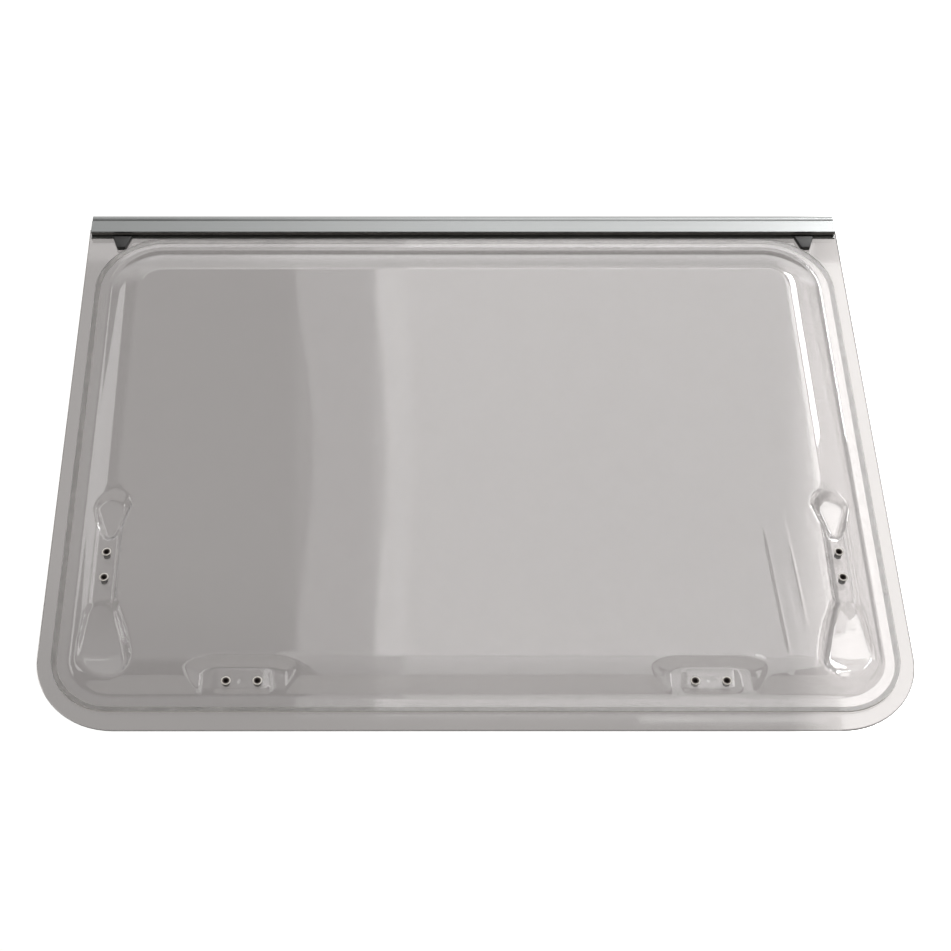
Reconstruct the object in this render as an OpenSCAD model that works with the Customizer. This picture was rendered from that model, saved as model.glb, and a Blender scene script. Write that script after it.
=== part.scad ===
// Top-hung caravan window: two acrylic panes bonded at the rim, hung from a two-piece aluminium hinge rail.
// Millimetres. X is the width, Z is up, and the caravan's inside is towards -Y.
// Every piece is drawn lying down (x across, y up the pane, z towards the inside) and stood up by upright().

/* [Window] */
// Width of the outer pane
window_w = 900; // [700:10:1300]
// Height from the bottom edge to the top of the wall rail
window_h = 703; // [520:1:900]
// Radius of the outer pane's bottom corners
corner_r = 85; // [60:1:110]
// Thickness of the outer sheet
outer_t = 3; // [2.5:0.25:4]
// Chamfer along the outer sheet's edge
edge_c = 0.8; // [0.3:0.1:1.1]

/* [Inner pane] */
// Thickness of the inner sheet
inner_t = 2.5; // [2:0.25:3]
// Thickness of the glue line between the sheets
bond_t = 1; // [0.6:0.1:1.5]
// Width of the glue line
bond_w = 5; // [3:0.5:10]
// Bare strip of the outer pane at each side
side_margin = 15; // [10:1:20]
// Bare strip of the outer pane along the bottom
foot_margin = 20; // [14:1:26]
// Width of the flat rim
rim_w = 18; // [12:1:20]
// Width of the sloped shoulder
shoulder_w = 40; // [34:1:46]
// Height of the dome over its rim
dome_rise = 14.5; // [13:0.5:17]
// Radius of the flat top's upper corners
flat_top_r = 22; // [14:1:30]
// Radius of the flat top's lower corners
flat_low_r = 6; // [4:1:10]

/* [Catch pockets] */
// Distance from the side edge to the catch's middle
catch_in = 212; // [190:1:240]
// Distance from the shoulder's foot up to the catch holes
catch_off = 15; // [13:0.5:17]
// Width of the pocket at its floor
catch_w = 100; // [86:1:104]
// Height of the pocket at its floor
catch_h = 34; // [30:1:36]
// Width of the raised pad
pad_w = 56; // [50:1:60]
// Height of the raised pad
pad_h = 22; // [18:0.5:24]
// Rise of the pad over the rim
pad_rise = 3.5; // [3:0.25:4.5]
// Rise of the pocket's floor over the rim
catch_floor = 1.5; // [1:0.25:2]

/* [Stay pockets] */
// Distance from the shoulder's foot in to the stay holes
stay_off = 29; // [27:0.5:31]
// Distance from the lower bowl up to the middle between the stay holes
stay_over = 55.5; // [52:0.5:72]
// Width of the pad at its floor
stay_w = 24; // [20:1:26]
// Rise of the pad over the rim
stay_rise = 6.5; // [6:0.25:8]
// Straight edge left between the pane's bottom corner and the lower bowl
bowl_gap = 11; // [9.5:0.5:18]
// Radius of the lower bowl at its floor
bowl_r = 18; // [13:0.5:19]
// Straight length of the lower bowl
bowl_len = 24; // [12:1:28]
// Distance from the hole middle up to the upper hollow
flare_up = 70; // [66:1:74]
// Radius of the upper hollow at its floor
flare_r = 13; // [10:0.5:14]
// Straight length of the upper hollow
flare_len = 12; // [6:1:14]
// Rise of both hollows' floors over the rim
bowl_floor = 2; // [1.5:0.25:3]

/* [Screw bushes] */
// Distance between the two holes of a pair
hole_gap = 32; // [28:0.5:34]
// Diameter of the screw hole
hole_d = 5; // [4:0.25:5.5]
// Diameter of the bush's collar
collar_d = 10; // [9:0.5:12]
// Thickness of the collar
collar_t = 0.6; // [0.4:0.1:1]
// Wall of the bush's sleeve
sleeve_t = 1.4; // [1:0.1:1.6]

/* [Hinge rail] */
// Distance from the pane's side edge to each rail end
rail_gap = 3; // [0:0.5:6]
// Radius of the hinge bead
bead_r = 4.6; // [4:0.1:5]
// Play between bead and socket
bead_play = 0.4; // [0.35:0.05:0.5]
// Wall of the socket
socket_t = 2.5; // [2:0.1:3]
// Distance from the outer pane's inner face to the wall
wall_off = 10; // [9:0.25:12]
// Height of the wall rail from its lower edge to its top
rail_h = 31; // [30:0.5:33]
// Height of the flat flange that lies on the wall
flange_h = 17.5; // [16:0.5:18.5]
// Thickness of the flange
flange_t = 2; // [1.6:0.1:2.4]
// Width of the web that joins the flange to the socket
web_w = 3; // [2:0.5:4]
// Wall of the pane rail
leg_t = 1.8; // [1.5:0.1:2]
// Depth of the pane rail over the outside of the pane
leg_out = 12; // [10:0.5:14]
// Depth of the pane rail over the inside of the pane
leg_in = 18; // [16:0.5:18.5]
// Thickness of the glue bed in the pane rail
bed_t = 0.5; // [0.3:0.1:0.8]
// Thickness of the neck that carries the bead
neck_t = 2.5; // [2:0.1:2.8]
// Length by which the bead stops short of each rail end
bead_back = 12; // [10:0.5:16]
// Length of the rail stops
stop_len = 11; // [6:0.5:11]
// Height of the hinge seal
seal_h = 5; // [3:0.5:6]
// Opening angle of the window
swing = 70; // [40:1:72]
// Free angle left in the socket's mouth at each end of the swing, with half the neck's thickness
mouth = 22; // [20:1:24]

/* [Rail clips] */
// Width of the clip at the rail
clip_w = 23; // [18:1:26]
// Width of the clip at its tip
clip_tip = 10; // [6:1:12]
// Height of the clip
clip_h = 18; // [14:0.5:18]
// Thickness of the clip
clip_t = 6; // [4:0.5:6.5]

/* [Fits] */
// Gap between the wall rail's barrel and the pane rail
rail_play = 1; // [0.8:0.1:1.4]
// Distance of the hinge axis from the outer pane's inner face
axis_in = 1; // [0.8:0.1:1.2]
// Gap between the pane rail and the inner pane's rim
rim_play = 3; // [2:0.5:5]
// Gap between the pane rail and the clips
clip_play = 0.3; // [0.2:0.1:0.5]
// Gap between the clips and the inner pane's round corners
clip_gap = 1.2; // [0.8:0.1:2]
// Gap between the pane rail and the hinge seal
seal_play = 0.5; // [0.4:0.1:0.8]
// Distance from the wall rail's lower edge to the hinge seal
seal_up = 1; // [0.5:0.5:2]
// Play of the rail stops in the socket
stop_play = 0.1; // [0.05:0.05:0.2]
// Play of the bushes in the inner pane
sleeve_play = 0.1; // [0.05:0.05:0.2]
// Gap between the bushes and the outer pane
sleeve_gap = 0.6; // [0.4:0.1:0.8]
// Thickness of the bush's closed end
sleeve_end_t = 0.8; // [0.6:0.1:1]
// Distance from the inner pane's edge to the glue line
bond_in = 0.5; // [0.3:0.1:1]

/* [Hidden] */
$fn = 64;
half_w = window_w / 2;
rail_len = window_w - 2 * rail_gap;
rim_z = outer_t + bond_t;
face_z = rim_z + inner_t;
top_z = face_z + dome_rise;
sky_z = top_z + 1;
wall_z = outer_t + wall_off;
socket_r = bead_r + bead_play;
barrel_r = socket_r + socket_t;
axis_y = window_h - barrel_r;
axis_z = outer_t + axis_in;
flange_y = window_h - rail_h;
seat_y = flange_y + flange_h / 2;
web_y = axis_y - barrel_r - rail_play;
pane_top = web_y - leg_t - bed_t;
leg_in_y = web_y - leg_in;
leg_z = outer_t + bed_t;
rim_top = leg_in_y - rim_play;
rim_x = half_w - side_margin;
skirt_w = rim_w + shoulder_w;
top_r = skirt_w + flat_top_r;
low_r = skirt_w + flat_low_r;
core_lo = foot_margin + low_r;
core_hi = rim_top - top_r;
catch_x = half_w - catch_in;
catch_up = foot_margin + rim_w + catch_off;
bowl_y = core_lo + bowl_gap + bowl_r;
stay_x = rim_x - rim_w - stay_off;
stay_up = bowl_y + bowl_len + stay_over;
bowl_down = stay_up - bowl_y;
pad_z = face_z + pad_rise;
stay_z = face_z + stay_rise;
sleeve_r = hole_d / 2 + sleeve_t;
sleeve_end = outer_t + sleeve_gap;
draft = 0.55;
steps = 10;
clip_top = leg_in_y - clip_play;
clip_reach = top_r + clip_gap;
clip_drop = clip_top - clip_h - core_hi;
clip_x = rim_x - top_r + clip_tip / 2 + sqrt(clip_reach * clip_reach - clip_drop * clip_drop);

acrylic = [0.62, 0.61, 0.60, 0.55];
alu = [0.78, 0.79, 0.80];
black = [0.07, 0.07, 0.07];
glue = [0.25, 0.25, 0.25];
nylon = [0.92, 0.92, 0.90];

// Height of the shoulder, as a share of the dome's: steep at the rim, level at the flat top
function swell(u) = sin(90 * u);

// The shoulder from the rim to the flat top, as seen in a cut: distance out from the rim's edge, and height
function shoulder(drop) = [for (i = [0 : steps])
  [-rim_w - shoulder_w * i / steps, face_z - drop + dome_rise * swell(i / steps)]];

// Stands the lying window up, with the middle of the wall face at the origin
module upright() {
  translate([0, wall_z, -seat_y])
    rotate([90, 0, 0])
      children();
}

// Runs a cut, drawn as (up the pane, towards the inside), along the width
module along(len) {
  translate([-len / 2, 0, 0])
    rotate([90, 0, 90])
      linear_extrude(len)
        children();
}

module both_sides() {
  children();
  mirror([1, 0, 0])
    children();
}

// Runs a cut of the shoulder, measured out from the rim's edge, round the right half of the pane
module half_skirt(cut) {
  translate([rim_x - top_r, core_hi, 0])
    rotate_extrude(angle = 90)
      translate([top_r, 0])
        polygon(cut);
  translate([rim_x - low_r, core_lo, 0])
    rotate([0, 0, -90])
      rotate_extrude(angle = 90)
        translate([low_r, 0])
          polygon(cut);
  translate([rim_x, core_hi, 0])
    rotate([90, 0, 0])
      linear_extrude(core_hi - core_lo)
        polygon(cut);
  translate([(rim_x - top_r) / 2, rim_top, 0])
    along(rim_x - top_r)
      polygon(cut);
  translate([(rim_x - low_r) / 2, foot_margin, 0])
    mirror([0, 1, 0])
      along(rim_x - low_r)
        polygon(cut);
}

// Fills the right half's flat top, with its round corners
module half_flat(low, high) {
  tall = high - low;
  translate([0, core_lo, low])
    cube([rim_x - skirt_w, core_hi - core_lo, tall]);
  translate([0, core_hi, low])
    cube([rim_x - top_r, top_r - skirt_w, tall]);
  translate([0, foot_margin + skirt_w, low])
    cube([rim_x - low_r, low_r - skirt_w, tall]);
  translate([rim_x - top_r, core_hi, low])
    rotate_extrude(angle = 90)
      square([top_r - skirt_w, tall]);
  translate([rim_x - low_r, core_lo, low])
    rotate([0, 0, -90])
      rotate_extrude(angle = 90)
        square([low_r - skirt_w, tall]);
}

// The formed sheet without its pockets
module half_sheet() {
  under = shoulder(inner_t);
  half_skirt(concat([[0, rim_z], [0, face_z]], shoulder(0), [for (i = [steps : -1 : 0]) under[i]]));
  half_flat(top_z - inner_t, top_z);
}

// The room under the middle of the sheet's thickness, which trims the lumps that the pockets are cut from
module half_room() {
  mid = inner_t / 2;
  half_skirt(concat([[-skirt_w, rim_z], [-rim_w, rim_z]], shoulder(mid)));
  half_flat(rim_z, top_z - mid);
}

// A drafted block with round ends, its long way across; w and h are its size at the low end
module lozenge(w, h, low, high, slant) {
  r = h / 2;
  a = (w - h) / 2;
  wide = r + slant * (high - low);
  along(2 * a)
    polygon([[-r, low], [r, low], [wide, high], [-wide, high]]);
  both_sides()
    translate([a, 0, low])
      cylinder(h = high - low, r1 = r, r2 = wide);
}

// The right catch pocket; grow gives the outside of its wall
module catch_hollow(grow) {
  translate([catch_x, catch_up, 0])
    lozenge(catch_w + 2 * grow, catch_h + 2 * grow, face_z + catch_floor - grow, sky_z, draft);
}

// The raised pad in the right catch pocket
module catch_pad(low, high, inset) {
  more = 2 * draft * (high - low) - 2 * inset;
  translate([catch_x, catch_up, 0])
    lozenge(pad_w + more, pad_h + more, low, high, -draft);
}

// The right stay pocket: a pad between a deep bowl below it and a hollow above it
module stay_hollow(grow) {
  z = stay_z - grow;
  half = stay_w / 2 + grow;
  wide = half + draft * (sky_z - z);
  deep = face_z + bowl_floor - grow;
  low_w = 2 * (bowl_r + grow);
  top_w = 2 * (flare_r + grow);
  translate([stay_x, stay_up, 0]) {
    translate([0, flare_up, 0])
      rotate([90, 0, 0])
        linear_extrude(flare_up + bowl_down)
          polygon([[-half, z], [half, z], [wide, sky_z], [-wide, sky_z]]);
    translate([0, bowl_len / 2 - bowl_down, 0])
      rotate([0, 0, 90])
        lozenge(bowl_len + low_w, low_w, deep, sky_z, draft);
    translate([0, flare_up - flare_len / 2, 0])
      rotate([0, 0, 90])
        lozenge(flare_len + top_w, top_w, deep, sky_z, draft);
  }
}

module inner_outline(inset) {
  low = low_r - inset;
  top = top_r - inset;
  both_sides() {
    translate([0, core_lo])
      square([rim_x - inset, core_hi - core_lo]);
    translate([0, foot_margin + inset])
      square([rim_x - low_r, low]);
    translate([0, core_hi])
      square([rim_x - top_r, top]);
    translate([rim_x - low_r, core_lo])
      circle(low);
    translate([rim_x - top_r, core_hi])
      circle(top);
  }
}

module bush(face) {
  translate([0, 0, face])
    difference() {
      union() {
        cylinder(h = collar_t, r = collar_d / 2);
        translate([0, 0, sleeve_end - face])
          cylinder(h = face - sleeve_end + collar_t, r = sleeve_r);
      }
      translate([0, 0, sleeve_end - face + sleeve_end_t])
        cylinder(h = face, r = hole_d / 2);
    }
}

module wall_rail() {
  root = socket_r + socket_t * 0.8;
  reach = barrel_r * 1.22;
  color(alu)
    upright()
      difference() {
        union() {
          along(rail_len)
            polygon([[flange_y, wall_z - flange_t], [flange_y, wall_z], [flange_y + flange_h, wall_z],
              [axis_y - root * cos(56), axis_z + root * sin(56)],
              [axis_y - root * cos(36), axis_z + root * sin(36)],
              [flange_y + flange_h - web_w, wall_z - flange_t]]);
          along(rail_len)
            translate([axis_y, axis_z])
              circle(barrel_r);
        }
        along(rail_len + 2)
          translate([axis_y, axis_z])
            circle(socket_r);
        along(rail_len + 2)
          translate([axis_y, axis_z])
            polygon([[0, 0], reach * [-cos(mouth), sin(mouth)], reach * [-cos(swing / 2), -sin(swing / 2)],
              reach * [-cos(swing + mouth), -sin(swing + mouth)]]);
      }
}

module hinge_seal() {
  low = leg_z + leg_t + seal_play;
  color(black)
    upright()
      along(rail_len)
        translate([flange_y + seal_up, low])
          square([seal_h, wall_z - flange_t - low]);
}

module rail_stop() {
  color(black)
    upright()
      translate([rail_len / 2 - stop_len, axis_y, axis_z])
        rotate([0, 90, 0])
          cylinder(h = stop_len, r = socket_r - stop_play);
}

module rail_stop_right() {
  rail_stop();
}

module rail_stop_left() {
  mirror([1, 0, 0])
    rail_stop();
}

module outer_pane() {
  cut = [[0, 0], [corner_r - edge_c, 0], [corner_r, edge_c], [corner_r, outer_t - edge_c],
    [corner_r - edge_c, outer_t], [0, outer_t]];
  color(acrylic)
    upright() {
      both_sides() {
        translate([half_w - corner_r, corner_r, 0])
          rotate([0, 0, -90])
            rotate_extrude(angle = 90)
              polygon(cut);
        translate([half_w - corner_r, pane_top, 0])
          rotate([90, 0, 0])
            linear_extrude(pane_top - corner_r)
              polygon(cut);
      }
      translate([0, corner_r, 0])
        mirror([0, 1, 0])
          along(window_w - 2 * corner_r)
            polygon(cut);
      translate([corner_r - half_w, corner_r, 0])
        cube([window_w - 2 * corner_r, pane_top - corner_r, outer_t]);
    }
}

// The right half: lumps go under the sheet, then the pockets are cut, so their walls stay one thickness
module half_pane() {
  difference() {
    union() {
      difference() {
        union() {
          half_sheet();
          intersection() {
            half_room();
            catch_hollow(inner_t);
          }
          intersection() {
            half_room();
            stay_hollow(inner_t);
          }
        }
        catch_hollow(0);
        stay_hollow(0);
      }
      catch_pad(face_z + catch_floor - 0.7 * inner_t, pad_z, 0);
    }
    catch_pad(rim_z - 1, pad_z - inner_t, inner_t);
    for (way = [-1, 1]) {
      translate([catch_x + way * hole_gap / 2, catch_up, 0])
        cylinder(h = sky_z, r = sleeve_r + sleeve_play);
      translate([stay_x, stay_up + way * hole_gap / 2, 0])
        cylinder(h = sky_z, r = sleeve_r + sleeve_play);
    }
  }
}

module inner_pane() {
  color(acrylic)
    upright()
      both_sides()
        half_pane();
}

module edge_bond() {
  color(glue)
    upright()
      translate([0, 0, outer_t])
        linear_extrude(bond_t)
          difference() {
            inner_outline(bond_in);
            inner_outline(bond_in + bond_w);
          }
}

module pane_rail() {
  out_z = -bed_t - leg_t;
  color(alu)
    upright() {
      along(rail_len)
        union() {
          translate([web_y - leg_t, out_z])
            square([leg_t, leg_z + leg_t - out_z]);
          translate([web_y - leg_out, out_z])
            square([leg_out, leg_t]);
          translate([leg_in_y, leg_z])
            square([leg_in, leg_t]);
        }
      along(rail_len - 2 * bead_back)
        union() {
          translate([web_y - leg_t, axis_z - neck_t / 2])
            square([axis_y - web_y + leg_t, neck_t]);
          translate([axis_y, axis_z])
            circle(bead_r);
        }
    }
}

module rail_bond() {
  color(glue)
    upright()
      along(rail_len)
        difference() {
          union() {
            translate([leg_in_y, outer_t / 2])
              square([pane_top + bed_t - leg_in_y, outer_t / 2 + bed_t]);
            translate([web_y - leg_out, -bed_t])
              square([leg_out - leg_t, outer_t + bed_t]);
          }
          translate([leg_in_y - 1, 0])
            square([pane_top - leg_in_y + 1, outer_t]);
        }
}

module rail_clip() {
  color(black)
    upright()
      translate([clip_x, clip_top, outer_t])
        linear_extrude(clip_t)
          polygon([[-clip_w / 2, 0], [clip_w / 2, 0], [clip_tip / 2, -clip_h], [-clip_tip / 2, -clip_h]]);
}

module rail_clip_right() {
  rail_clip();
}

module rail_clip_left() {
  mirror([1, 0, 0])
    rail_clip();
}

module catch_bush(side, way) {
  color(nylon)
    upright()
      translate([side * (catch_x + way * hole_gap / 2), catch_up, 0])
        bush(pad_z);
}

module stay_bush(side, way) {
  color(nylon)
    upright()
      translate([side * stay_x, stay_up + way * hole_gap / 2, 0])
        bush(stay_z);
}

wall_rail();
hinge_seal();
rail_stop_left();
rail_stop_right();
outer_pane();
inner_pane();
edge_bond();
pane_rail();
rail_bond();
rail_clip_left();
rail_clip_right();
catch_bush(-1, 1);  // catch_bush_left_outer
catch_bush(-1, -1);  // catch_bush_left_inner
catch_bush(1, -1);  // catch_bush_right_inner
catch_bush(1, 1);  // catch_bush_right_outer
stay_bush(-1, -1);  // stay_bush_left_lower
stay_bush(-1, 1);  // stay_bush_left_upper
stay_bush(1, -1);  // stay_bush_right_lower
stay_bush(1, 1);  // stay_bush_right_upper
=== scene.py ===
"""Looks of a top-hung caravan window, two acrylic sheets on a hinge rail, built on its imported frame."""

import math

import bmesh
import bpy
from bpy.props import FloatProperty, FloatVectorProperty, PointerProperty, StringProperty
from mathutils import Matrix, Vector


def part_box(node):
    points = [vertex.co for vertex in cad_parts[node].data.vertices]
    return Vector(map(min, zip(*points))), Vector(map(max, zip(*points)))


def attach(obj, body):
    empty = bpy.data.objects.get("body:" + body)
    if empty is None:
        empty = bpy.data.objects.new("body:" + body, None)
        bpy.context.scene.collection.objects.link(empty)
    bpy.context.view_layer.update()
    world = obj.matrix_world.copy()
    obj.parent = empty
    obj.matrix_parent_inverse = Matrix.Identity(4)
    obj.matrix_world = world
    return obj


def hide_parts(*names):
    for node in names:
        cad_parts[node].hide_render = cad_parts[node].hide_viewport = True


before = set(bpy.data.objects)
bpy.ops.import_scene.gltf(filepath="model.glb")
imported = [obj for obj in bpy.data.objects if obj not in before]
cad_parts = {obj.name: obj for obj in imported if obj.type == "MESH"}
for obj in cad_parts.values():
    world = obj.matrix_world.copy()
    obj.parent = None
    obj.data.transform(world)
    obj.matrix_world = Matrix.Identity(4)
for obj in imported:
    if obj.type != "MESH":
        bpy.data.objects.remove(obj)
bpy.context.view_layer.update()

bl_info = {
    "name": "Caravan window",
    "version": (1, 0, 0),
    "blender": (4, 5, 0),
    "location": "3D View > Sidebar > Window",
    "description": "Dresses the packed caravan window: panes, rails, seal, bushes and the studio round it",
    "category": "Object",
}

MM = 0.001
WINDOW = "window"
WALL = "wall_frame"

# The lying drawing of the window: x across, t up from the bottom edge, z in from the outer sheet's outer face
SHEET_LOW, SHEET_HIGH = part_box("outer_pane")
RIM_LOW, RIM_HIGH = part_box("inner_pane")
BUSHES = [name for name in sorted(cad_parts) if "_bush_" in name]


def stand(x, t, z):
    """A point of the lying drawing, in mm, as it stands in the frame, in metres."""
    return Vector((x * MM, SHEET_HIGH.y - z * MM, SHEET_LOW.z + t * MM))


def lie(point):
    """The x, t and z, in mm, of a point in the frame."""
    return point.x / MM, (point.z - SHEET_LOW.z) / MM, (SHEET_HIGH.y - point.y) / MM


RIM_X = RIM_HIGH.x / MM
RIM_FOOT = lie(RIM_LOW)[1]
RIM_TOP = lie(RIM_HIGH)[1]
DOME_Z = lie(RIM_LOW)[2]
RIM_Z = lie(RIM_HIGH)[2]


def middle_of(node):
    """The x, t and z, in mm, of a CAD node's middle."""
    low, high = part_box(node)
    return lie((low + high) / 2)


CATCH_X = abs(middle_of("catch_bush_right_inner")[0] + middle_of("catch_bush_right_outer")[0]) / 2
CATCH_T = middle_of("catch_bush_right_inner")[1]
STAY_X = middle_of("stay_bush_right_lower")[0]
STAY_T = (middle_of("stay_bush_right_lower")[1] + middle_of("stay_bush_right_upper")[1]) / 2


# Settings that a user would change


class PaneSettings(bpy.types.PropertyGroup):
    sheet: FloatProperty(
        name="Sheet thickness", description="Thickness of the formed sheet, in mm", default=2.5, min=2, max=3)
    rim: FloatProperty(
        name="Rim width", description="Width of the flat rim, in mm", default=18, min=12, max=20)
    shoulder: FloatProperty(
        name="Shoulder width", description="Width of the sloped shoulder, in mm", default=40, min=34, max=46)
    top_corner: FloatProperty(
        name="Top corner", description="Radius of the sheet's top corners, in mm", default=80, min=72, max=88)
    low_corner: FloatProperty(
        name="Bottom corner", description="Radius of the sheet's bottom corners, in mm",
        default=64, min=62, max=68)
    crown: FloatProperty(
        name="Crown", description="Swell of the dome's middle over its edge, in mm",
        default=2.0, min=0, max=4)
    lip: FloatProperty(
        name="Lip", description="Softness of the pockets' lips, in mm", default=2.6, min=1, max=4)
    ripple: FloatProperty(
        name="Ripple", description="Height of the draw marks beside the right stay pocket, in mm",
        default=1.2, min=0, max=2)
    tint: StringProperty(
        name="Tint", description="Colour that the flat sheet leaves of white light, as sRGB hex",
        default="999695")
    clear: StringProperty(
        name="Clear", description="Colour that the formed sheet leaves of white light, as sRGB hex",
        default="ECEBEB")


class RailSettings(bpy.types.PropertyGroup):
    edge: FloatProperty(
        name="Edge", description="Width of the broken edges of the extrusions, in mm",
        default=0.25, min=0.1, max=0.5)
    metal: StringProperty(
        name="Metal", description="Colour of the anodised metal, as sRGB hex", default="969898")


class TrimSettings(bpy.types.PropertyGroup):
    clip_edge: FloatProperty(
        name="Clip edge", description="Rounding of the clips' edges, in mm", default=0.8, min=0.3, max=1.5)
    rubber: StringProperty(
        name="Rubber", description="Colour of the seal, as sRGB hex", default="3E3C3A")
    plastic: StringProperty(
        name="Plastic", description="Colour of the clips and stops, as sRGB hex", default="161616")
    glue: StringProperty(
        name="Glue", description="Colour of the glue lines, as sRGB hex", default="B0AEAC")
    nylon: StringProperty(
        name="Nylon", description="Colour of the bushes' collars, as sRGB hex", default="CFCCC8")


class StageSettings(bpy.types.PropertyGroup):
    floor: StringProperty(
        name="Floor", description="Colour of the floor, as sRGB hex", default="CAC9C6")
    behind: FloatProperty(
        name="Light behind", description="Brightness of the pale room behind the window",
        default=1.15, min=0, max=4)
    behind_right: FloatProperty(
        name="Light behind right", description="Brightness of the room behind the window's right side",
        default=2.15, min=0, max=4)
    before: FloatProperty(
        name="Light before", description="Brightness of the room on the camera's side",
        default=0.75, min=0, max=4)
    above: FloatProperty(
        name="Light above", description="Brightness of the ceiling", default=1.6, min=0, max=4)
    left_panel: FloatProperty(
        name="Left panel", description="Brightness of the soft boxes at the left", default=2.0, min=0, max=10)
    side_panel: FloatProperty(
        name="Side panel", description="Brightness of the narrow soft box", default=1.43, min=0, max=10)
    strip_panel: FloatProperty(
        name="Strip panel", description="Brightness of the strip between the soft boxes",
        default=2.72, min=0, max=10)
    main_panel: FloatProperty(
        name="Main panel", description="Brightness of the wide soft box", default=2.48, min=0, max=10)
    right_panel: FloatProperty(
        name="Right panel", description="Brightness of the narrow soft box at the right",
        default=4.5, min=0, max=10)
    far_panel: FloatProperty(
        name="Far panel", description="Brightness of the soft wall at the far right",
        default=1.1, min=0, max=10)
    lens: FloatProperty(
        name="Lens", description="Focal length of the camera, in mm", default=73.86, min=20, max=200,
        unit="CAMERA")
    place: FloatVectorProperty(
        name="Camera place", description="Place of the camera", default=(-0.0855, -1.714, -1.631),
        subtype="TRANSLATION", unit="LENGTH")
    tilt: FloatProperty(
        name="Camera tilt", description="Turn of the camera about X", default=math.radians(126.3),
        subtype="ANGLE", unit="ROTATION")
    shift: FloatProperty(
        name="Camera shift", description="Sideways shift of the picture", default=0.0878)


# Materials


def linear(text):
    """Linear RGBA of an sRGB hex colour."""
    parts = [int(text[i:i + 2], 16) / 255 for i in (0, 2, 4)]
    return [c / 12.92 if c <= 0.04045 else ((c + 0.055) / 1.055) ** 2.4 for c in parts] + [1.0]


def add_node(tree, kind, inputs=None, **settings):
    """A node with its settings; an input is a value, or the socket that feeds it."""
    node = tree.nodes.new(kind)
    for name, value in settings.items():
        setattr(node, name, value)
    for name, value in (inputs or {}).items():
        if isinstance(value, bpy.types.NodeSocket):
            tree.links.new(value, node.inputs[name])
        else:
            node.inputs[name].default_value = value
    return node


def new_material(name):
    """An empty material with its Principled shader and Object coordinates."""
    material = bpy.data.materials.get(name)
    if material:
        return material, None, None, None
    material = bpy.data.materials.new(name)
    material.use_nodes = True
    tree = material.node_tree
    tree.nodes.clear()
    shader = add_node(tree, "ShaderNodeBsdfPrincipled")
    add_node(tree, "ShaderNodeOutputMaterial", {"Surface": shader.outputs["BSDF"]})
    coords = add_node(tree, "ShaderNodeTexCoord").outputs["Object"]
    return material, tree, shader, coords


def feed(tree, shader, **sockets):
    """Sets or links the shader's sockets, named with _ for each space."""
    for name, value in sockets.items():
        socket = shader.inputs[name.replace("_", " ")]
        if isinstance(value, bpy.types.NodeSocket):
            tree.links.new(value, socket)
        else:
            socket.default_value = value


def acrylic(name, tint):
    """Cast acrylic sheet, polished: clear and glossy, with the softest haze from wiping."""
    material, tree, shader, coords = new_material(name)
    if tree:
        # Wiping haze in patches about 60 mm across
        patches = add_node(tree, "ShaderNodeTexNoise", {
            "Vector": coords, "Scale": 1 / (60 * MM), "Detail": 3.0})
        haze = add_node(tree, "ShaderNodeMapRange", {
            "Value": patches.outputs["Fac"], "From Min": 0.3, "From Max": 0.7,
            "To Min": 0.025, "To Max": 0.04})
        feed(tree, shader, Base_Color=linear(tint), Transmission_Weight=1.0, IOR=1.49, Specular_IOR_Level=1.0,
             Roughness=haze.outputs["Result"])
    return material


def sawn_acrylic():
    """Edge of the formed sheet as the saw leaves it: matt and milky."""
    material, tree, shader, coords = new_material("sawn_acrylic")
    if tree:
        # Saw marks are finer; drawn 2 mm apart so that they show
        cut = add_node(tree, "ShaderNodeTexNoise", {"Vector": coords, "Scale": 1 / (2 * MM), "Detail": 3.0})
        tone = add_node(tree, "ShaderNodeMix", {
            "Factor": cut.outputs["Fac"], "A": linear("B9B6B4"), "B": linear("C9C6C4")}, data_type="RGBA")
        feed(tree, shader, Base_Color=tone.outputs["Result"], Roughness=0.6, IOR=1.49)
    return material


def anodised_aluminium():
    """Extruded aluminium, satin anodised: soft grey gloss with fine lines along the extrusion."""
    material, tree, shader, coords = new_material("satin_anodised_aluminium")
    if tree:
        # Die lines 0.5 mm apart, drawn out 200 times along the rail
        drawn = add_node(tree, "ShaderNodeMapping", {"Vector": coords, "Scale": (0.005, 1.0, 1.0)})
        lines = add_node(tree, "ShaderNodeTexNoise", {
            "Vector": drawn.outputs["Vector"], "Scale": 1 / (0.5 * MM), "Detail": 4.0, "Roughness": 0.6})
        cloud = add_node(tree, "ShaderNodeTexNoise", {
            "Vector": coords, "Scale": 1 / (90 * MM), "Detail": 2.0})
        metal = linear(bpy.context.scene.window_rail.metal)
        dull = [c * 0.86 for c in metal[:3]] + [1.0]
        tone = add_node(tree, "ShaderNodeMix", {
            "Factor": lines.outputs["Fac"], "A": metal, "B": dull}, data_type="RGBA")
        satin = add_node(tree, "ShaderNodeMapRange", {
            "Value": cloud.outputs["Fac"], "From Min": 0.3, "From Max": 0.7, "To Min": 0.27, "To Max": 0.33})
        bump = add_node(tree, "ShaderNodeBump", {
            "Height": lines.outputs["Fac"], "Strength": 0.12, "Distance": 0.05 * MM})
        feed(tree, shader, Base_Color=tone.outputs["Result"], Metallic=1.0, Roughness=satin.outputs["Result"],
             Normal=bump.outputs["Normal"])
    return material


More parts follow.
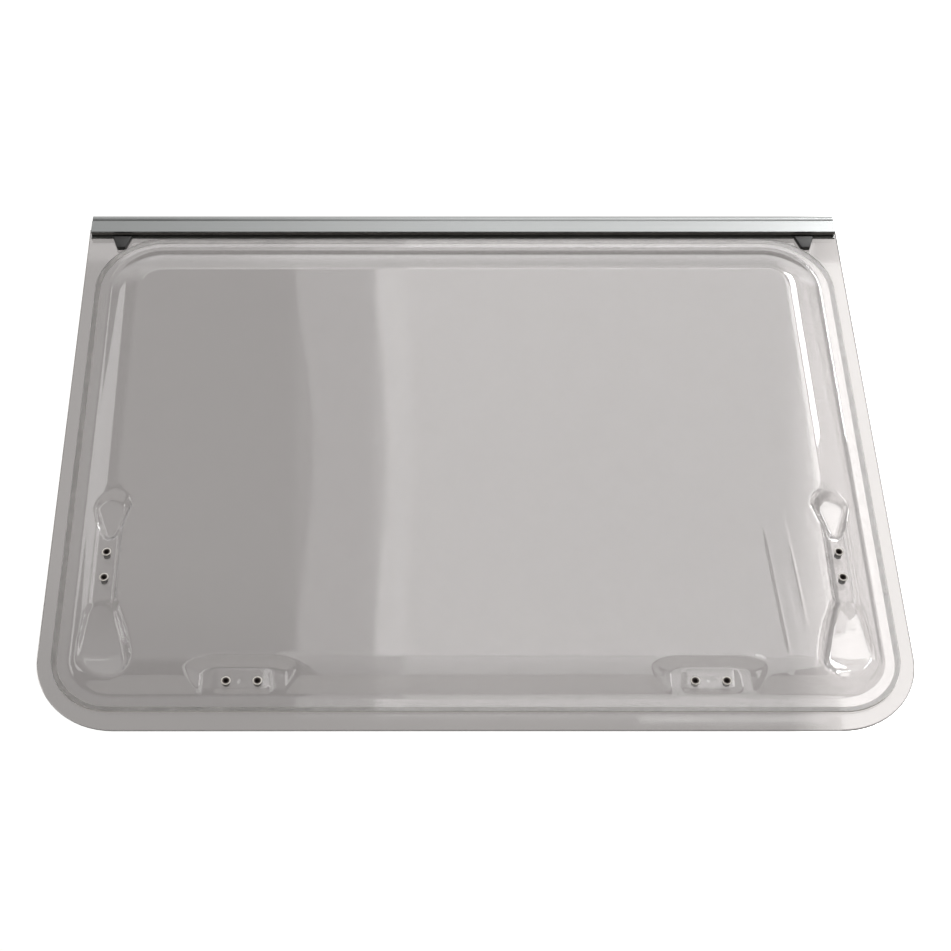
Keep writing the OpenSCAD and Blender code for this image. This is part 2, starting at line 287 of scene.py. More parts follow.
def seal_rubber():
    """Extruded EPDM rubber: matt dark grey with a dusty bloom."""
    material, tree, shader, coords = new_material("epdm_rubber")
    if tree:
        bloom = add_node(tree, "ShaderNodeTexNoise", {
            "Vector": coords, "Scale": 1 / (14 * MM), "Detail": 5.0})
        grit = add_node(tree, "ShaderNodeTexNoise", {
            "Vector": coords, "Scale": 1 / (0.8 * MM), "Detail": 2.0})
        black = linear(bpy.context.scene.window_trim.rubber)
        dusty = [min(1.0, c * 2.2) for c in black[:3]] + [1.0]
        tone = add_node(tree, "ShaderNodeMix", {
            "Factor": bloom.outputs["Fac"], "A": black, "B": dusty}, data_type="RGBA")
        rough = add_node(tree, "ShaderNodeMapRange", {
            "Value": bloom.outputs["Fac"], "To Min": 0.55, "To Max": 0.8})
        bump = add_node(tree, "ShaderNodeBump", {
            "Height": grit.outputs["Fac"], "Strength": 0.3, "Distance": 0.1 * MM})
        feed(tree, shader, Base_Color=tone.outputs["Result"], Roughness=rough.outputs["Result"], IOR=1.5,
             Normal=bump.outputs["Normal"])
    return material


def black_nylon():
    """Glass-filled black nylon, moulded: nearly black with a fine spark-eroded grain."""
    material, tree, shader, coords = new_material("moulded_black_nylon")
    if tree:
        # Spark grain is about 0.3 mm; drawn at 0.7 mm so that it shows
        grain = add_node(tree, "ShaderNodeTexVoronoi", {"Vector": coords, "Scale": 1 / (0.7 * MM)})
        flow = add_node(tree, "ShaderNodeTexNoise", {"Vector": coords, "Scale": 1 / (8 * MM), "Detail": 3.0})
        black = linear(bpy.context.scene.window_trim.plastic)
        pale = [min(1.0, c * 1.7) for c in black[:3]] + [1.0]
        tone = add_node(tree, "ShaderNodeMix", {
            "Factor": flow.outputs["Fac"], "A": black, "B": pale}, data_type="RGBA")
        rough = add_node(tree, "ShaderNodeMapRange", {
            "Value": flow.outputs["Fac"], "To Min": 0.38, "To Max": 0.55})
        bump = add_node(tree, "ShaderNodeBump", {
            "Height": grain.outputs["Distance"], "Strength": 0.25, "Distance": 0.08 * MM})
        feed(tree, shader, Base_Color=tone.outputs["Result"], Roughness=rough.outputs["Result"], IOR=1.53,
             Normal=bump.outputs["Normal"])
    return material


def pane_glue():
    """Elastic glue squeezed between the sheets: grey and smooth, lighter where it is thin."""
    material, tree, shader, coords = new_material("elastic_glue")
    if tree:
        squeeze = add_node(tree, "ShaderNodeTexNoise", {
            "Vector": coords, "Scale": 1 / (12 * MM), "Detail": 4.0})
        glue = linear(bpy.context.scene.window_trim.glue)
        thin = [min(1.0, c * 1.8) for c in glue[:3]] + [1.0]
        tone = add_node(tree, "ShaderNodeMix", {
            "Factor": squeeze.outputs["Fac"], "A": glue, "B": thin}, data_type="RGBA")
        rough = add_node(tree, "ShaderNodeMapRange", {
            "Value": squeeze.outputs["Fac"], "To Min": 0.35, "To Max": 0.6})
        feed(tree, shader, Base_Color=tone.outputs["Result"], Roughness=rough.outputs["Result"], IOR=1.46)
    return material


def white_nylon():
    """Natural nylon, moulded: milky off-white with a soft gloss."""
    material, tree, shader, coords = new_material("natural_nylon")
    if tree:
        milk = add_node(tree, "ShaderNodeTexNoise", {"Vector": coords, "Scale": 1 / (3 * MM), "Detail": 3.0})
        nylon = linear(bpy.context.scene.window_trim.nylon)
        warm = [nylon[0] * 0.93, nylon[1] * 0.91, nylon[2] * 0.86, 1.0]
        tone = add_node(tree, "ShaderNodeMix", {
            "Factor": milk.outputs["Fac"], "A": nylon, "B": warm}, data_type="RGBA")
        rough = add_node(tree, "ShaderNodeMapRange", {
            "Value": milk.outputs["Fac"], "To Min": 0.3, "To Max": 0.45})
        feed(tree, shader, Base_Color=tone.outputs["Result"], Roughness=rough.outputs["Result"], IOR=1.53)
    return material


def painted_shade_nylon():
    """Nylon of the sleeves under the collars, painted plain grey as painted shade, so that it stays quiet
    behind the clear sheet.
    """
    material, tree, shader, coords = new_material("painted_shade_nylon")
    if tree:
        milk = add_node(tree, "ShaderNodeTexNoise", {"Vector": coords, "Scale": 1 / (3 * MM), "Detail": 3.0})
        tone = add_node(tree, "ShaderNodeMix", {
            "Factor": milk.outputs["Fac"], "A": linear("8C8987"), "B": linear("9B9896")}, data_type="RGBA")
        feed(tree, shader, Base_Color=tone.outputs["Result"], Roughness=0.5, IOR=1.53)
    return material


def painted_shade_thread():
    """Brass thread in the bushes' bores, painted dark as painted shade of the deep hole: dark, dull metal."""
    material, tree, shader, coords = new_material("painted_shade_brass")
    if tree:
        wear = add_node(tree, "ShaderNodeTexNoise", {
            "Vector": coords, "Scale": 1 / (1.5 * MM), "Detail": 3.0})
        tone = add_node(tree, "ShaderNodeMix", {
            "Factor": wear.outputs["Fac"], "A": linear("453F3D"), "B": linear("5A5250")}, data_type="RGBA")
        rough = add_node(tree, "ShaderNodeMapRange", {
            "Value": wear.outputs["Fac"], "To Min": 0.5, "To Max": 0.7})
        feed(tree, shader, Base_Color=tone.outputs["Result"], Metallic=0.6, Roughness=rough.outputs["Result"])
    return material


# Shapes


def ramp(u):
    """A soft climb from 0 to 1."""
    u = max(0.0, min(1.0, u))
    return u * u * (3 - 2 * u)


def soft_low(a, b, k):
    """The lower of two heights, rounded over k where they meet."""
    h = max(k - abs(a - b), 0.0) / k
    return min(a, b) - h * h * k / 4


def soft_high(a, b, k):
    """The higher of two heights, rounded over k where they meet."""
    return -soft_low(-a, -b, k)


def swell(u):
    """Share of the dome's height along its shoulder: steep at the rim, level at the top."""
    return math.sin(math.pi / 2 * max(-1.0, min(1.0, u)))


def off_drop(x, t, ax, at, ar, bx, bt, br):
    """Distance of a point from a drop: two discs and what lies between them."""
    dx, dt = bx - ax, bt - at
    u = max(0.0, min(1.0, ((x - ax) * dx + (t - at) * dt) / (dx * dx + dt * dt)))
    return math.hypot(x - ax - u * dx, t - at - u * dt) - ar - u * (br - ar)


def off_box(x, t, half_x, half_t, corner):
    """Distance of a point from a box with round corners, which lies round the origin."""
    return math.hypot(max(abs(x) - half_x + corner, 0.0), max(abs(t) - half_t + corner, 0.0)) - corner


# Details of the formed sheet, in mm unless said
DRAFT = 0.7  # run of a pocket's wall for each mm of its height
WALL_ROUND = 2.0  # rounding from a wall to a pocket's floor or to the pad's top
FOOT_ROUND = 1.2  # rounding from the rim to the shoulder
# Draw marks: way in from the stay bushes and the height where it is measured, slant, foot and length of its
# fade, head and length of its fade, width of the step and its share of the ripple
DRAW_MARKS = (
    (74, 157, 0.055, 50, 50, 290, 90, 4.8, 1.0),
    (51, 180, 0.058, 100, 45, 270, 80, 3.4, 0.7))
DRAW_RISE = 150  # way over which a mark's low side rises again
DRAW_ROUND = 0.2  # rounding of its step, as a share of its height
# Catch pocket: its reach, the half sizes and corner of its floor, and how steep its ends are against its top
CATCH_REACH_X, CATCH_REACH_T = 90, 100
CATCH_HALF_X, CATCH_HALF_T, CATCH_CORNER = 43, 17, 7
CATCH_ENDS = 0.42
CATCH_FLOOR, CATCH_SLOPE = 1.2, 0.05  # height of the floor's lower edge over the rim, and rise of the floor
BEAD_HIGH, BEAD_OUT, BEAD_WIDE = 0.4, 8, 3  # bead along the pocket's top
BEAD_FOOT, BEAD_FOOT_FADE, BEAD_END, BEAD_END_FADE = 9, 8, 62, 16
# Pad of the catch bushes, and the dimple between them
PAD_HALF_X, PAD_HALF_T, PAD_CORNER, PAD_ENDS = 26, 12, 3, 0.35
PAD_HIGH, PAD_UP, PAD_ROUND = 3.5, 2, 1.6
DIMPLE_DEEP, DIMPLE_SPREAD = 0.6, 6
# Stay pocket: the middles of its bowl and flare, its reach, and its drops, each from disc to disc
# with the x, t and radius of both
BOWL_T = STAY_T - 79.5
FLARE_T = STAY_T + 58
STAY_REACH_X, STAY_REACH_LOW, STAY_REACH_HIGH = 50, BOWL_T - 75, FLARE_T + 60
CHANNEL = (STAY_X, BOWL_T + 20, 11, STAY_X, FLARE_T, 11)
BOWL = (STAY_X, BOWL_T + 18, 14, STAY_X - 5, BOWL_T - 37, 25)
FLARE = (STAY_X, FLARE_T + 15, 14.5, STAY_X - 1, FLARE_T - 16, 5)
CHANNEL_FLOOR, CHANNEL_LEAN = 6.5, 0.09  # height of its floor over the rim at the bushes, and fall outwards
DEEP_FLOOR = 2  # height of the floors of bowl and flare over the rim
DISH_X, DISH_T, DISH_SAG = STAY_X - 4, BOWL_T - 10, 0.006  # lowest line of the bowl's dished floor
DISH_BELOW, DISH_ABOVE = 360, 520  # twice the radius of the dish below and above that line
BOWL_LIP = 1.4  # softness of the bowl's lip against that of the other lips


def hollow(far, floor):
    """Height of a drafted pocket at a distance from its floor."""
    return floor + soft_high(0.0, far / DRAFT, WALL_ROUND)


def draw_mark(far, width):
    """A step whose low side rises again."""
    step = soft_low(1.0, soft_high(0.0, 0.5 - far / width, DRAW_ROUND), DRAW_ROUND)
    return step * max(0.0, min(1.0, 1 + far / DRAW_RISE))


def catch_pocket(x, t, z, face, lip):
    """Sinks a catch pocket, open to the rim, with the pad of the two bushes and a dimple between them."""
    x, t = x - CATCH_X, t - CATCH_T
    far = off_box(CATCH_ENDS * x, t, CATCH_ENDS * CATCH_HALF_X, CATCH_HALF_T, CATCH_CORNER)
    bead = ramp((t - BEAD_FOOT) / BEAD_FOOT_FADE) * ramp((BEAD_END - abs(x)) / BEAD_END_FADE)
    z += BEAD_HIGH * bead * math.exp(-((far - BEAD_OUT) / BEAD_WIDE) ** 2)
    z = soft_low(z, hollow(far, face + CATCH_FLOOR + CATCH_SLOPE * (t + CATCH_HALF_T)), lip)
    far = off_box(PAD_ENDS * x, t - PAD_UP, PAD_ENDS * PAD_HALF_X, PAD_HALF_T, PAD_CORNER)
    z = soft_high(z, face + soft_low(PAD_HIGH, PAD_HIGH - far / DRAFT, WALL_ROUND), PAD_ROUND)
    return z - DIMPLE_DEEP * math.exp(-(x * x + t * t) / DIMPLE_SPREAD)


def stay_pocket(x, t, z, face, lip):
    """Sinks a stay pocket: a leaning channel, a deep bowl below it and a drop-shaped flare above it."""
    floor = face + CHANNEL_FLOOR - CHANNEL_LEAN * (x - STAY_X)
    z = soft_low(z, hollow(off_drop(x, t, *CHANNEL), floor), lip)
    dish = t - DISH_T - DISH_SAG * (x - DISH_X) ** 2
    floor = face + DEEP_FLOOR + dish ** 2 / (DISH_BELOW if dish < 0 else DISH_ABOVE)
    z = soft_low(z, hollow(off_drop(x, t, *BOWL), floor), BOWL_LIP * lip)
    return soft_low(z, hollow(off_drop(x, t, *FLARE), face + DEEP_FLOOR), lip)


def dome(x, t, pane):
    """Height of the formed sheet's inside face over the drawing, in mm."""
    skirt = pane.rim + pane.shoulder
    right = x > 0
    x = abs(x)
    top, low = pane.top_corner, pane.low_corner
    if t > RIM_TOP - top and x > RIM_X - top:
        inset = top - math.hypot(x - RIM_X + top, t - RIM_TOP + top)
    elif t < RIM_FOOT + low and x > RIM_X - low:
        inset = low - math.hypot(x - RIM_X + low, t - RIM_FOOT - low)
    else:
        inset = min(RIM_X - x, t - RIM_FOOT, RIM_TOP - t)
    u = min(1.0, x / (RIM_X - skirt))
    v = min(1.0, abs(t - (RIM_FOOT + RIM_TOP) / 2) / ((RIM_TOP - RIM_FOOT) / 2 - skirt))
    face = RIM_Z + pane.sheet
    rise = DOME_Z - face - pane.crown
    z = soft_high(face, face + rise * swell((inset - pane.rim) / pane.shoulder), FOOT_ROUND)
    z += pane.crown * (1 - u * u) ** 2 * (1 - v * v) ** 2
    # Two low steps that the forming leaves in the dome beside the right stay pocket
    if right:
        for inward, at, slant, foot, foot_fade, head, head_fade, width, share in DRAW_MARKS:
            far = x - STAY_X + inward + slant * (t - at)
            length = ramp((t - foot) / foot_fade) * ramp((head - t) / head_fade)
            z -= share * pane.ripple * length * draw_mark(far, width)
    if abs(x - CATCH_X) < CATCH_REACH_X and t < CATCH_REACH_T:
        z = catch_pocket(x, t, z, face, pane.lip)
    if abs(x - STAY_X) < STAY_REACH_X and STAY_REACH_LOW < t < STAY_REACH_HIGH:
        z = stay_pocket(x, t, z, face, pane.lip)
    return z


def spread(*spans):
    """Places of the grid's lines: each span is a start and the step from there on; the last is the end."""
    places = []
    for (start, step), (end, _) in zip(spans, spans[1:]):
        count = max(1, round((end - start) / step))
        places += [start + (end - start) * i / count for i in range(count)]
    return places + [spans[-1][0]]


def round_off(x, t, corner_x, corner_t, radius):
    """Moves a grid point of a square corner into the round one, ring by ring."""
    a, b = (abs(x) - corner_x) / radius, abs(t - corner_t) / radius
    far = max(a, b)
    turn = math.pi / 4 * (b / a) if a >= b else math.pi / 2 - math.pi / 4 * (a / b)
    way = 1 if t > corner_t else -1
    return (math.copysign(corner_x + far * radius * math.cos(turn), x),
            corner_t + way * far * radius * math.sin(turn))


def new_piece(name, bm, material, body):
    """Makes a bmesh a finished piece: an object at the origin that rides on its body."""
    mesh = bpy.data.meshes.new(name)
    bm.to_mesh(mesh)
    bm.free()
    for m in material if isinstance(material, list) else [material]:
        mesh.materials.append(m)
    piece = bpy.data.objects.new(name, mesh)
    bpy.context.scene.collection.objects.link(piece)
    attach(piece, body)
    return piece


def dress(node, material):
    """Gives a CAD node a finer material."""
    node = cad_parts[node]
    node.data.materials.clear()
    node.data.materials.append(material)


def merged_copy(node):
    """A bmesh of a CAD node with its loose triangles joined and its flat faces whole."""
    bm = bmesh.new()
    bm.from_mesh(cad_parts[node].data)
    bmesh.ops.remove_doubles(bm, verts=bm.verts, dist=0.002 * MM)
    bmesh.ops.dissolve_limit(bm, angle_limit=math.radians(0.5), verts=bm.verts, edges=bm.edges)
    return bm


def break_edges(bm, width, segments, angle=30):
    """Bevels the edges that turn by more than the angle."""
    sharp = [e for e in bm.edges if len(e.link_faces) == 2 and e.calc_face_angle(0) > math.radians(angle)]
    bmesh.ops.bevel(bm, geom=sharp, offset=width * MM, offset_type="OFFSET", segments=segments, profile=0.5,
                    affect="EDGES", clamp_overlap=True, material=-1)


def shade_smooth(bm, angle):
    """Makes the faces smooth and the edges sharp that turn by more than the angle."""
    for f in bm.faces:
        f.smooth = True
    for e in bm.edges:
        e.smooth = len(e.link_faces) == 2 and e.calc_face_angle(0) < math.radians(angle)


# Operators


class WINDOW_OT_formed_pane(bpy.types.Operator):
    """Forms the inner sheet: rim, shoulder, crowned dome, catch pockets and stay pockets"""

    bl_idname = "caravan_window.formed_pane"
    bl_label = "Formed pane"

    def execute(self, context):
        pane = context.scene.window_pane
        # The grid's lines lie close where pockets, draw marks and shoulders bend the sheet
        left, right = (
            spread((0, 9), (CATCH_X - 62, 2.6), (CATCH_X + 62, step), (STAY_X - 44, 3), (STAY_X - 26, 1.7),
                   (RIM_X - 12, 4), (RIM_X, 4))
            for step in (4, 1.2))
        across = [-x for x in reversed(left[1:])] + right
        up = spread((RIM_FOOT, 3), (RIM_FOOT + 12, 1.9), (BOWL_T - 24, 2.5), (FLARE_T + 36, 9),
                    (RIM_TOP - 66, 2.6), (RIM_TOP, 3))
        bm = bmesh.new()
        bmesh.ops.create_grid(bm, x_segments=len(across) - 1, y_segments=len(up) - 1, size=1.0)
        if len(bm.verts) != len(across) * len(up):
            raise RuntimeError("the grid hasn't the lines that the pane needs")
        for v in bm.verts:
            x = across[round((v.co.x + 1) / 2 * (len(across) - 1))]
            t = up[round((v.co.y + 1) / 2 * (len(up) - 1))]
            for radius, corner_t, beyond in (
                    (pane.top_corner, RIM_TOP - pane.top_corner, t > RIM_TOP - pane.top_corner),
                    (pane.low_corner, RIM_FOOT + pane.low_corner, t < RIM_FOOT + pane.low_corner)):
                if beyond and abs(x) > RIM_X - radius:
                    x, t = round_off(x, t, RIM_X - radius, corner_t, radius)
                    break
            v.co = stand(x, t, dome(x, t, pane))
        # Holes for the bushes, a little wider than their sleeves
        reach, spare = 4.0, 0.4
        for node in BUSHES:
            bush_x, bush_t, _ = middle_of(node)
            inside = []
            for f in bm.faces:
                x, t, _ = lie(f.calc_center_median())
                if math.hypot(x - bush_x, t - bush_t) < reach - spare:
                    inside.append(f)
            bmesh.ops.delete(bm, geom=inside, context="FACES")
            for v in bm.verts:
                x, t, _ = lie(v.co)
                far = math.hypot(x - bush_x, t - bush_t)
                if v.is_boundary and far < 2 * reach:
                    x, t = bush_x + (x - bush_x) * reach / far, bush_t + (t - bush_t) * reach / far
                    v.co = stand(x, t, dome(x, t, pane))
        bmesh.ops.recalc_face_normals(bm, faces=bm.faces)
        if sum(f.normal.y for f in bm.faces) > 0:
            bmesh.ops.reverse_faces(bm, faces=bm.faces)
        bmesh.ops.solidify(bm, geom=bm.faces[:], thickness=pane.sheet * MM)
        shade_smooth(bm, angle=50)
        for f in bm.faces:
            upright = abs(f.normal.y) < 0.2
            at_rim = lie(f.calc_center_median())[2] < RIM_Z + pane.sheet
            f.material_index = 1 if upright and at_rim else 0
        sheet = [acrylic("clear_cast_acrylic", pane.clear), sawn_acrylic()]
        piece = new_piece("formed_pane", bm, sheet, WINDOW)
        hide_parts("inner_pane")
        return {"FINISHED"}


class WINDOW_OT_flat_pane(bpy.types.Operator):
    """Gives the flat outer sheet its tinted acrylic"""

    bl_idname = "caravan_window.flat_pane"
    bl_label = "Flat pane"

    def execute(self, context):
        dress("outer_pane", acrylic("smoke_cast_acrylic", context.scene.window_pane.tint))
        return {"FINISHED"}


class WINDOW_OT_glue_lines(bpy.types.Operator):
    """Lays the glue line round the sheets' rim and dresses the glue in the rail"""

    bl_idname = "caravan_window.glue_lines"
    bl_label = "Glue lines"

    def execute(self, context):
        bm = merged_copy("edge_bond")
        gap = 0.04 * MM
        low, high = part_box("edge_bond")
        for v in bm.verts:
            v.co.y = low.y + gap if v.co.y < (low.y + high.y) / 2 else high.y - gap
        piece = new_piece("rim_glue", bm, pane_glue(), WINDOW)
        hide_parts("edge_bond")
        dress("rail_bond", pane_glue())
        return {"FINISHED"}


class WINDOW_OT_rails(bpy.types.Operator):
    """Breaks the edges of the two extrusions of the hinge"""

    bl_idname = "caravan_window.rails"
    bl_label = "Hinge rails"

    def execute(self, context):
        rail = context.scene.window_rail
        for node, body in (("wall_rail", WALL), ("pane_rail", WINDOW)):
            bm = merged_copy(node)
            break_edges(bm, width=rail.edge, segments=2)
            shade_smooth(bm, angle=12)
            piece = new_piece(node + "_extrusion", bm, anodised_aluminium(), body)
            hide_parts(node)
        return {"FINISHED"}


class WINDOW_OT_seal_and_stops(bpy.types.Operator):
    """Dresses the rubber strip and the plugs of the wall rail"""

    bl_idname = "caravan_window.seal_and_stops"
    bl_label = "Seal and stops"

    def execute(self, context):
        bm = merged_copy("hinge_seal")
        break_edges(bm, width=0.7, segments=3)
        shade_smooth(bm, angle=40)
        piece = new_piece("rubber_strip", bm, seal_rubber(), WALL)
        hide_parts("hinge_seal")
        for side in ("left", "right"):
            bm = merged_copy("rail_stop_" + side)
            break_edges(bm, width=0.5, segments=3, angle=60)
            shade_smooth(bm, angle=40)
            piece = new_piece("socket_plug_" + side, bm, black_nylon(), WALL)
            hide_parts("rail_stop_" + side)
        return {"FINISHED"}


class WINDOW_OT_clips(bpy.types.Operator):
    """Rounds the two wedges under the rail"""

    bl_idname = "caravan_window.clips"
    bl_label = "Rail clips"

    def execute(self, context):
        for side in ("left", "right"):
            bm = merged_copy("rail_clip_" + side)
            break_edges(bm, width=context.scene.window_trim.clip_edge, segments=4)
            shade_smooth(bm, angle=40)
            piece = new_piece("wedge_clip_" + side, bm, black_nylon(), WINDOW)
            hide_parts("rail_clip_" + side)
        return {"FINISHED"}


class WINDOW_OT_bushes(bpy.types.Operator):
    """Turns the eight screw bushes, with a round collar, a thread painted dark as painted shade of the hole
    and a sleeve painted grey as painted shade
    """

    bl_idname = "caravan_window.bushes"
    bl_label = "Screw bushes"

    def execute(self, context):
        for node in BUSHES:
            low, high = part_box(node)
            mid = (low + high) / 2
            rim = (high.x - low.x) / 2
            deep = high.y - low.y
            bore, seat, sleeve, collar = 2.5 * MM, 3.6 * MM, 3.9 * MM, 0.6 * MM
            edge, end = 0.25 * MM, 0.8 * MM
            # Radius and depth of the half section, from the bore's bottom round the collar to the end
            cut = [(0.0, deep - end), (bore, deep - end), (bore, 0.5 * MM), (seat, 0.3 * MM),
                   (seat + 0.2 * MM, 0.0), (rim - edge, 0.0), (rim, edge), (rim, collar), (sleeve, collar),
                   (sleeve, deep), (0.0, deep)]
            bm = bmesh.new()
            ring = [bm.verts.new((mid.x + r, low.y + d, mid.z)) for r, d in cut]
            for a, b in zip(ring, ring[1:]):
                bm.edges.new((a, b))
            bmesh.ops.spin(bm, geom=bm.verts[:] + bm.edges[:], cent=mid, axis=(0, 1, 0), angle=2 * math.pi,
                           steps=40, use_merge=True)
            bmesh.ops.remove_doubles(bm, verts=bm.verts, dist=0.001 * MM)
            bmesh.ops.recalc_face_normals(bm, faces=bm.faces)
            for f in bm.faces:
                spot = f.calc_center_median()
                far = math.hypot(spot.x - mid.x, spot.z - mid.z)
                depth = spot.y - low.y
                # The bore and its seat are painted dark: painted shade of the deep hole
                if far < seat and depth < deep - end / 2:
                    f.material_index = 1
                else:
                    # The sleeve below the collar is painted grey: painted shade under the collar
                    f.material_index = 2 if depth > 0.9 * collar else 0
            shade_smooth(bm, angle=50)
            # The stay bushes lie on the leaning channel
            if node.startswith("stay"):
                for v in bm.verts:
                    v.co.y += CHANNEL_LEAN * (abs(v.co.x) - abs(mid.x))
            nylon = [white_nylon(), painted_shade_thread(), painted_shade_nylon()]
            piece = new_piece(node + "_turned", bm, nylon, WINDOW)
            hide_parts(node)
        return {"FINISHED"}


# The stage, in metres and watts
FLOOR_Z, FLOOR_HALF = -2.1, 9.0
PANELS_FAR = 8.0
KEY_PLACE, KEY_AIM = (1.98, -2.7, 2.6), (0, 0, -0.3)
KEY_WIDE, KEY_HIGH, KEY_POWER = 0.7, 1.0, 36


class WINDOW_OT_stage(bpy.types.Operator):
    """Sets the pale floor, the soft room, the soft boxes and the camera"""

    bl_idname = "caravan_window.stage"
    bl_label = "Stage"

    def execute(self, context):
        scene = context.scene
        stage = scene.window_stage
        scene.view_settings.view_transform = "Standard"
        # Room: pale behind the window, most at its right, dim before it, with a bright ceiling
        world = bpy.data.worlds.new("soft_room")
        scene.world = world
        world.use_nodes = True
        tree = world.node_tree
        tree.nodes.clear()
        way = add_node(tree, "ShaderNodeTexCoord").outputs["Generated"]
        parts = add_node(tree, "ShaderNodeSeparateXYZ", {"Vector": way})

        def fade(axis, start, end, low, high):
            """Soft change from low to high between two places along an axis of the view's direction."""
            return add_node(tree, "ShaderNodeMapRange", {
                "Value": parts.outputs[axis], "From Min": start, "From Max": end,
                "To Min": low, "To Max": high},
                interpolation_type="SMOOTHSTEP").outputs["Result"]

        # Before the window: a wall, dark at its foot and dimmer at the left, and the ceiling over it
        wall = fade("Z", 0.05, 0.62, 0.06, fade("X", -0.45, -0.2, 0.4 * stage.before, stage.before))
        ceiling = fade("Z", 0.665, 0.72, 0.0, fade("X", -0.1, -0.03, 0.4, stage.above - stage.before))
        front = add_node(tree, "ShaderNodeMath", {0: wall, 1: ceiling})
        # Behind it: dimmer low at the left, brightest at the right and a little dimmer overhead
        foot = fade("X", -0.1, 0.06, 1.03, stage.behind)
        back = fade("X", 0.195, 0.225, fade("Z", 0.49, 0.56, foot, stage.behind), stage.behind_right)
        overhead = fade("Z", 0.78, 0.84, 1.0, 0.8)
        shut = add_node(tree, "ShaderNodeMath", {0: back, 1: overhead}, operation="MULTIPLY")
        level = fade("Y", -0.1, 0.5, front.outputs["Value"], shut.outputs["Value"])
        glow = add_node(tree, "ShaderNodeBackground", {"Color": (1.0, 0.995, 0.985, 1.0), "Strength": level})
        add_node(tree, "ShaderNodeOutputWorld", {"Surface": glow.outputs["Background"]})
        # Floor, below the camera
        bm = bmesh.new()
        bmesh.ops.create_grid(bm, x_segments=4, y_segments=4, size=FLOOR_HALF)
        bmesh.ops.translate(bm, verts=bm.verts, vec=(0, 0, FLOOR_Z))
        self.stage_piece("pale_floor", bm, self.floor_paint(stage))
        # Soft boxes above and behind the camera, on a plane square to the way the dome mirrors: each has its
        # left and right edge at mid height, the lean of both edges, its lower and upper edge and the glow at
        # these two
        ahead = Vector((0, -math.sin(stage.tilt), -math.cos(stage.tilt)))
        rise = Vector((0, -math.cos(stage.tilt), math.sin(stage.tilt)))
        middle = Vector((0, 2 * RIM_LOW.y - stage.place[1], stage.place[2])) + PANELS_FAR * ahead
        side, main = stage.side_panel, stage.main_panel
        for name, left, right, lean, down, high, dim, bright in (
                ("far_left", -22.0, -11.9, (0, 0), -2.2, 2.6, stage.left_panel * 1.6, stage.left_panel * 1.6),
                ("left", -7.2, -4.6, (0, 0), -2.2, 2.6, stage.left_panel, stage.left_panel),
                ("side", -0.48, -0.155, (0, 0), -0.97, 0.89, side, side),
                ("strip", -0.155, -0.03, (0, 0), -0.97, 0.89, stage.strip_panel, stage.strip_panel),
                ("main", -0.03, 1.648, (0, -0.12), -0.97, 0.89, main, main),
                ("side_low", -0.48, -0.03, (0, 0), -6.3, -1.08, side * 0.5, side * 0.85),
                ("main_low", -0.03, 1.90, (0, 0), -6.3, -1.08, main * 0.5, main * 0.85),
                ("rim_left", -1.4, -0.48, (0, 0), 0.905, 1.02, 2.3, 2.3),
                ("rim_side", -0.48, -0.03, (0, 0), 0.905, 1.02, side * 2.0, side * 2.0),
                ("rim_main", -0.03, 1.648, (0, 0), 0.905, 1.02, main * 1.6, main * 1.6),
                ("edge", 0.93, 1.71, (0, 0), -0.992, -0.974, main * 1.9, main * 1.9),
                ("right", 1.648, 2.25, (-0.12, -0.15), -1.6, 0.9, stage.right_panel, stage.right_panel),
                ("far_right", 2.25, 9.0, (-0.15, 0), -6.3, 2.6, stage.far_panel * 0.6, stage.far_panel)):
            bm = bmesh.new()
            bmesh.ops.create_grid(bm, x_segments=1, y_segments=1, size=1.0)
            for v in bm.verts:
                up = down if v.co.y < 0 else high
                out = left + lean[0] * up if v.co.x < 0 else right + lean[1] * up
                v.co = middle + Vector((out, 0, 0)) + up * rise
            low_z, high_z = (middle + down * rise).z, (middle + high * rise).z
            panel = self.stage_piece("soft_box_" + name, bm, self.soft_glow(name, low_z, high_z, dim, bright))
            panel.visible_camera = False
        # A broad soft light from above on the camera's right, for the rails and the trim
        light = bpy.data.lights.new("soft_key", "AREA")
        light.shape = "RECTANGLE"
        light.size, light.size_y = KEY_WIDE, KEY_HIGH
        light.energy = KEY_POWER
        key = bpy.data.objects.new("soft_key", light)
        key.location = KEY_PLACE
        key.rotation_euler = (Vector(KEY_AIM) - key.location).to_track_quat("-Z", "Y").to_euler()
        key.visible_camera = False
        scene.collection.objects.link(key)
        # Camera
        camera = bpy.data.cameras.new("photo_view")
        camera.sensor_fit = "HORIZONTAL"
        camera.sensor_width = 36
        camera.lens = stage.lens
        camera.shift_x = stage.shift
        camera.clip_end = 100
        view = bpy.data.objects.new("photo_view", camera)
        view.location = stage.place
        view.rotation_euler = (stage.tilt, 0, 0)
        scene.collection.objects.link(view)
        scene.camera = view
        return {"FINISHED"}

    def stage_piece(self, name, bm, material):
        """Makes a bmesh a piece of the stage."""
        mesh = bpy.data.meshes.new(name)
        bm.to_mesh(mesh)
        bm.free()
        mesh.materials.append(material)
        piece = bpy.data.objects.new(name, mesh)
        bpy.context.scene.collection.objects.link(piece)
        return piece

    def floor_paint(self, stage):
        """Matt pale floor paint with the faintest clouding."""
        material, tree, shader, coords = new_material("pale_floor_paint")
        cloud = add_node(tree, "ShaderNodeTexNoise", {
            "Vector": coords, "Scale": 1 / (700 * MM), "Detail": 2.0})
        paint = linear(stage.floor)
        shade = [c * 0.97 for c in paint[:3]] + [1.0]
        tone = add_node(tree, "ShaderNodeMix", {
            "Factor": cloud.outputs["Fac"], "A": paint, "B": shade}, data_type="RGBA")
        feed(tree, shader, Base_Color=tone.outputs["Result"], Roughness=0.8)
        return material

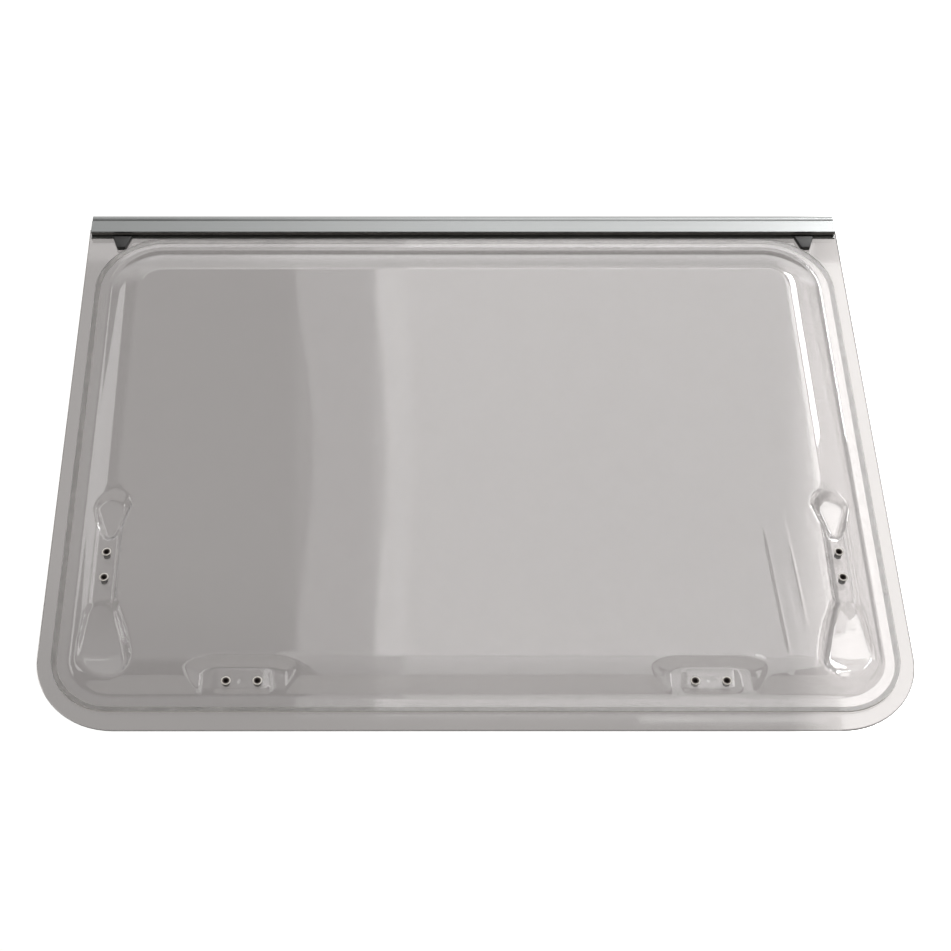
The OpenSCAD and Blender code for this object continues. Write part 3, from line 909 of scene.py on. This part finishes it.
    def soft_glow(self, name, low_z, high_z, dim, bright):
        """Glow of a soft box's cloth, from its lower edge to its upper edge."""
        material = bpy.data.materials.new("soft_glow_" + name)
        material.use_nodes = True
        tree = material.node_tree
        tree.nodes.clear()
        coords = add_node(tree, "ShaderNodeTexCoord").outputs["Object"]
        parts = add_node(tree, "ShaderNodeSeparateXYZ", {"Vector": coords})
        level = add_node(tree, "ShaderNodeMapRange", {
            "Value": parts.outputs["Z"], "From Min": low_z, "From Max": high_z,
            "To Min": dim, "To Max": bright})
        glow = add_node(tree, "ShaderNodeEmission", {
            "Color": (1.0, 0.99, 0.985, 1.0), "Strength": level.outputs["Result"]})
        add_node(tree, "ShaderNodeOutputMaterial", {"Surface": glow.outputs["Emission"]})
        return material


OPERATORS = [WINDOW_OT_stage, WINDOW_OT_flat_pane, WINDOW_OT_formed_pane, WINDOW_OT_glue_lines,
             WINDOW_OT_rails, WINDOW_OT_seal_and_stops, WINDOW_OT_clips, WINDOW_OT_bushes]
SETTINGS = {"window_pane": PaneSettings, "window_rail": RailSettings, "window_trim": TrimSettings,
            "window_stage": StageSettings}


class WINDOW_PT_panel(bpy.types.Panel):
    """Lists the pieces of the window and their settings"""

    bl_idname = "WINDOW_PT_caravan_window"
    bl_label = "Caravan window"
    bl_space_type = "VIEW_3D"
    bl_region_type = "UI"
    bl_category = "Window"

    def draw(self, context):
        for operator in OPERATORS:
            self.layout.operator(operator.bl_idname)
        for name, group in SETTINGS.items():
            box = self.layout.box()
            for setting in group.__annotations__:
                box.prop(getattr(context.scene, name), setting)


def register():
    for group in SETTINGS.values():
        bpy.utils.register_class(group)
    for operator in OPERATORS:
        bpy.utils.register_class(operator)
    bpy.utils.register_class(WINDOW_PT_panel)
    for name, group in SETTINGS.items():
        setattr(bpy.types.Scene, name, PointerProperty(type=group))


def unregister():
    for name in SETTINGS:
        delattr(bpy.types.Scene, name)
    bpy.utils.unregister_class(WINDOW_PT_panel)
    for operator in reversed(OPERATORS):
        bpy.utils.unregister_class(operator)
    for group in SETTINGS.values():
        bpy.utils.unregister_class(group)


def main():
    register()
    bpy.ops.caravan_window.stage()
    bpy.ops.caravan_window.flat_pane()
    bpy.ops.caravan_window.formed_pane()
    bpy.ops.caravan_window.glue_lines()
    bpy.ops.caravan_window.rails()
    bpy.ops.caravan_window.seal_and_stops()
    bpy.ops.caravan_window.clips()
    bpy.ops.caravan_window.bushes()
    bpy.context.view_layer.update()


if __name__ == "__main__":
    main()
